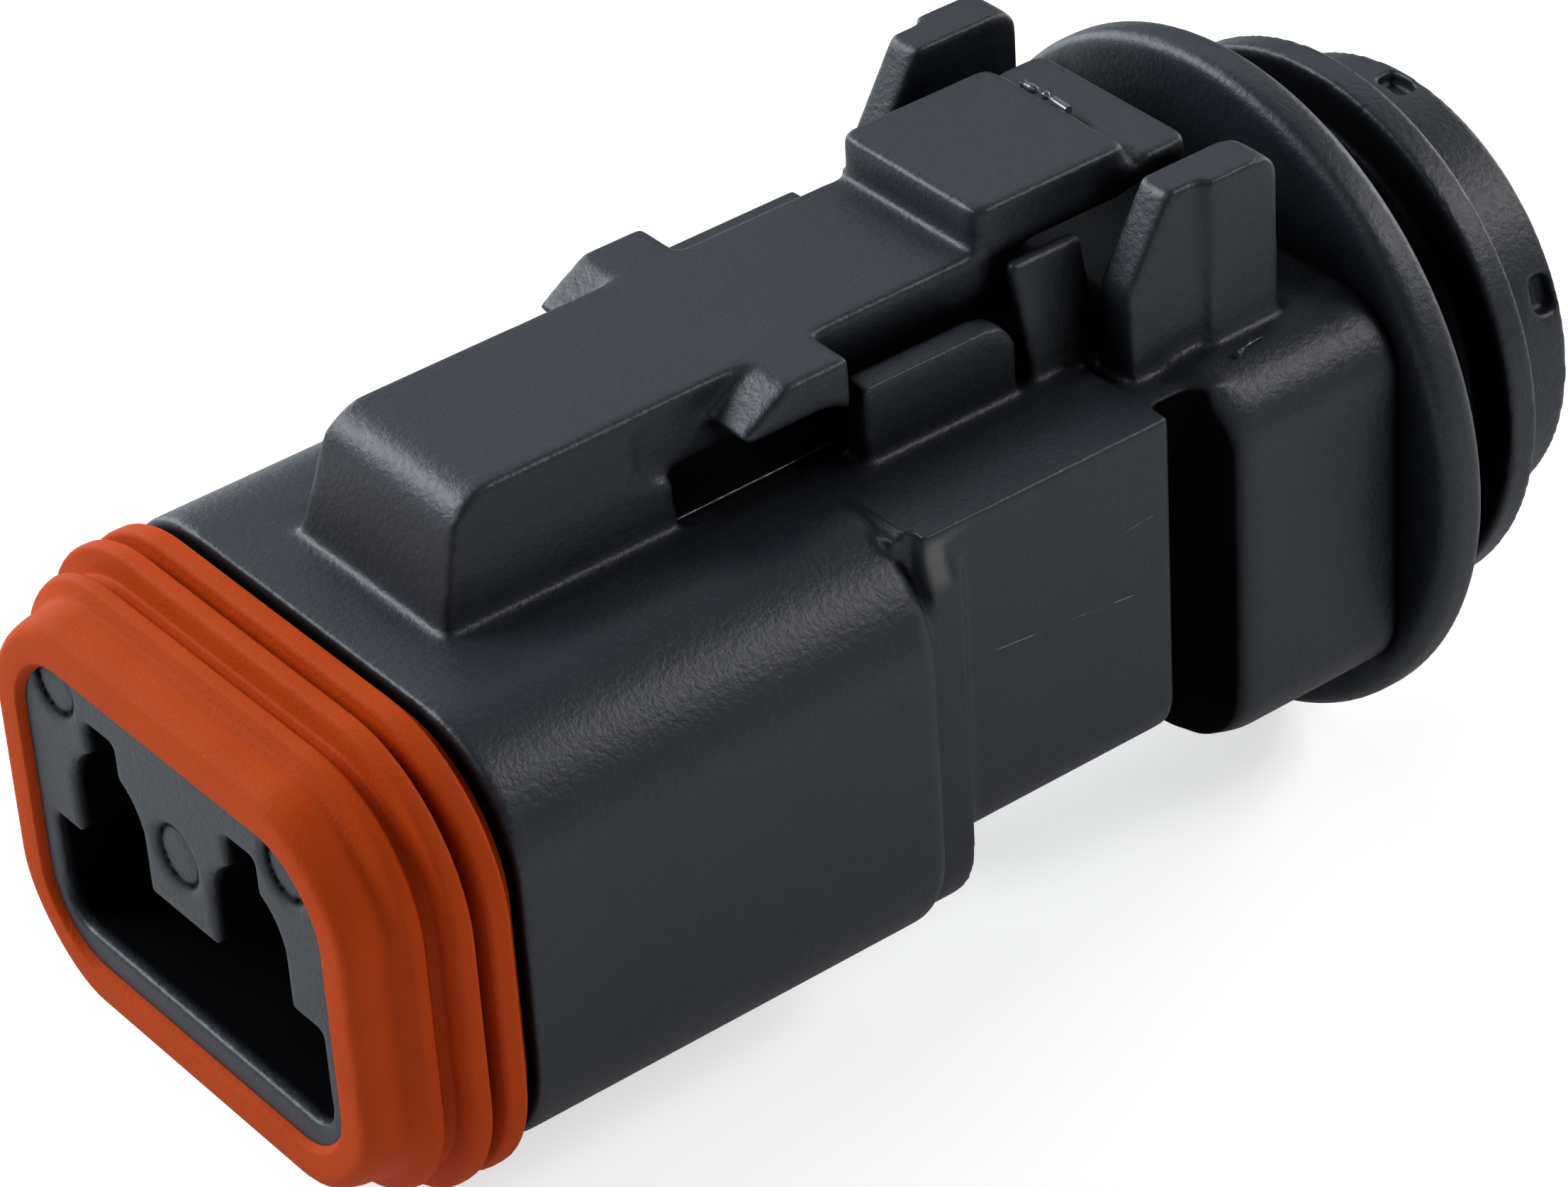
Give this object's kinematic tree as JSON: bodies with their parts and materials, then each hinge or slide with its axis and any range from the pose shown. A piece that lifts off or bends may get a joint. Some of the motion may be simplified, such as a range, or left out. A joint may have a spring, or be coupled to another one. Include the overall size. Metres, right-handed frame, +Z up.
{
  "type": "sealed two-way connector plug",
  "caption": "Sealed rectangular wire-to-wire connector plug with a press-down latch lever on top, a ribbed front seal and a round end cap for the wires.",
  "frame": {"origin": "bottom centre of the plug's box, under the lowest point of the end cap's flange", "axes": "+Y along the plug towards the wires, the mating nose points to -Y; +Z up towards the latch; X across"},
  "size_m": [0.0192, 0.0398, 0.0199],
  "materials": {
    "housing_plastic": "fine matte moulded texture, soft sheen on rounded edges",
    "lever_plastic": "fine matte moulded texture, soft sheen on rounded edges",
    "seal_silicone": "matte orange silicone",
    "wire_seal_silicone": "matte orange silicone",
    "cap_plastic": "fine matte moulded texture, soft sheen on the rims"
  },
  "bodies": {
    "plug": {"plug_housing": "housing_plastic", "interface_seal": "seal_silicone", "wire_seal": "wire_seal_silicone", "end_cap": "cap_plastic"},
    "lever": {"latch_lever": "lever_plastic"}
  },
  "joints": [
    {"name": "latch_press", "type": "hinge", "parent": "plug", "child": "lever", "pos_m": [0, -0.00647, 0.01755], "axis": [-1, 0, 0], "range_deg": [0, 7], "stiffness_Nm_per_rad": 0.4}
  ]
}
